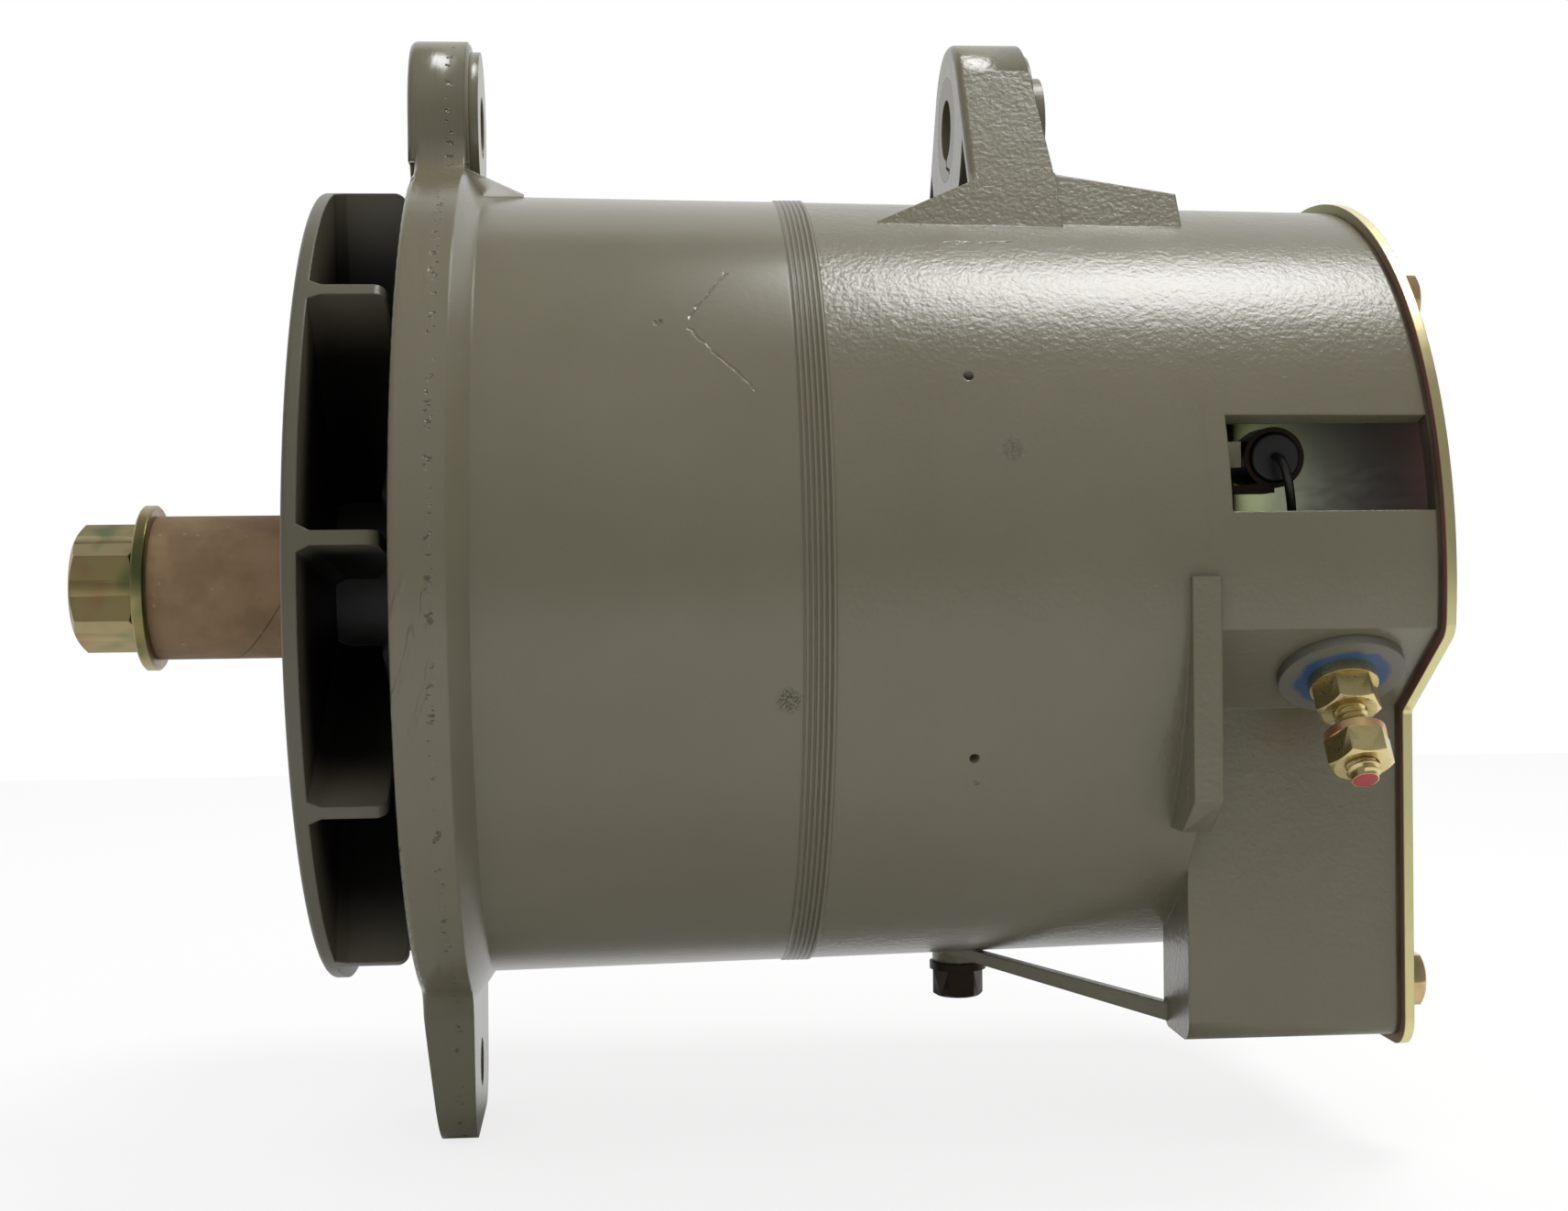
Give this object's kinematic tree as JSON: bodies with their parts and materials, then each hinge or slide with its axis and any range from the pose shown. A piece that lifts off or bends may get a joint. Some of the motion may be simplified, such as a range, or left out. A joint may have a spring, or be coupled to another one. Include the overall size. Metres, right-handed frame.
{
  "type": "alternator",
  "caption": "Heavy-duty brushless alternator with an outside fan, hinge lugs with a sliding bushing, an adjusting ear, a rear chamber and an output stud.",
  "frame": {"origin": "on the shaft axis at the pulley seat, where the fan's front face is", "axes": "+X along the shaft to the rear cover, +Z to the hinge lugs, -Y to the output stud's side"},
  "size_m": [0.2765, 0.177, 0.234],
  "materials": {
    "painted_metal": "semi-gloss olive grey paint over castings",
    "brushed_steel": "machined steel",
    "plated": "yellow zinc plated steel",
    "brass": "bright brass",
    "copper_enamel": "enamelled wire in varnish",
    "coil_wrap": "taped coil",
    "aluminium": "extruded aluminium",
    "black_plastic": "black moulded plastic",
    "insulator": "painted fibre washer",
    "cage_plastic": "moulded cage",
    "board": "wound brown board",
    "black_steel": "blackened steel"
  },
  "bodies": {
    "housing": {"drive_end_frame": "painted_metal", "drive_end_drum": "painted_metal", "drive_end_lug": "painted_metal", "drive_end_ear": "painted_metal", "rear_end_frame": "painted_metal", "rear_end_drum": "painted_metal", "rear_end_chamber": "painted_metal", "rear_end_lug": "painted_metal", "rear_end_brace": "painted_metal", "stator_core": "brushed_steel", "stator_winding": "copper_enamel", "through_bolts": "brushed_steel", "field_coil": "coil_wrap", "field_coil_support": "brushed_steel", "support_screws": "brushed_steel", "front_outer_race": "brushed_steel", "rear_outer_race": "brushed_steel", "bearing_retainer": "brushed_steel", "retainer_screws": "brushed_steel", "cover_plate": "plated", "cover_gasket": "board", "cover_screws": "plated", "capacitor": "black_plastic", "capacitor_clip": "plated", "capacitor_lead": "black_plastic", "heat_sink": "aluminium", "diodes": "black_plastic", "voltage_regulator": "black_plastic", "chamber_screws": "brushed_steel", "output_stud": "brass", "stud_insulator": "insulator", "inner_insulator": "black_plastic", "stud_washer": "brass", "stud_nuts": "brass", "stud_lock_washer": "brushed_steel", "ground_screw": "black_steel", "ground_washer": "plated"},
    "rotor": {"shaft": "brushed_steel", "fan": "painted_metal", "fan_key": "brushed_steel", "bearing_spacer": "brushed_steel", "shaft_sleeve": "board", "shaft_washer": "plated", "shaft_nut": "plated", "rotor_front_pole": "brushed_steel", "rotor_rear_pole": "brushed_steel", "pole_ring": "brushed_steel", "front_inner_race": "brushed_steel", "rear_inner_race": "brushed_steel"},
    "front_bearing_cage": {"front_cage": "cage_plastic", "front_balls": "brushed_steel"},
    "rear_bearing_cage": {"rear_cage": "cage_plastic", "rear_rollers": "brushed_steel"},
    "bushing": {"hinge_bushing": "brushed_steel"}
  },
  "joints": [
    {"name": "rotor_spin", "type": "hinge", "parent": "housing", "child": "rotor", "pos_m": [0, 0, 0], "axis": [1, 0, 0], "continuous": true},
    {"name": "front_cage_spin", "type": "hinge", "parent": "housing", "child": "front_bearing_cage", "pos_m": [0, 0, 0], "axis": [1, 0, 0], "continuous": true},
    {"name": "rear_cage_spin", "type": "hinge", "parent": "housing", "child": "rear_bearing_cage", "pos_m": [0, 0, 0], "axis": [1, 0, 0], "continuous": true},
    {"name": "bushing_slide", "type": "slide", "parent": "housing", "child": "bushing", "axis": [-1, 0, 0], "range_m": [0, 0.004]}
  ],
  "couplings": [
    {"joint": "front_cage_spin", "follows": "rotor_spin", "ratio": 0.3851},
    {"joint": "rear_cage_spin", "follows": "rotor_spin", "ratio": 0.3947}
  ]
}
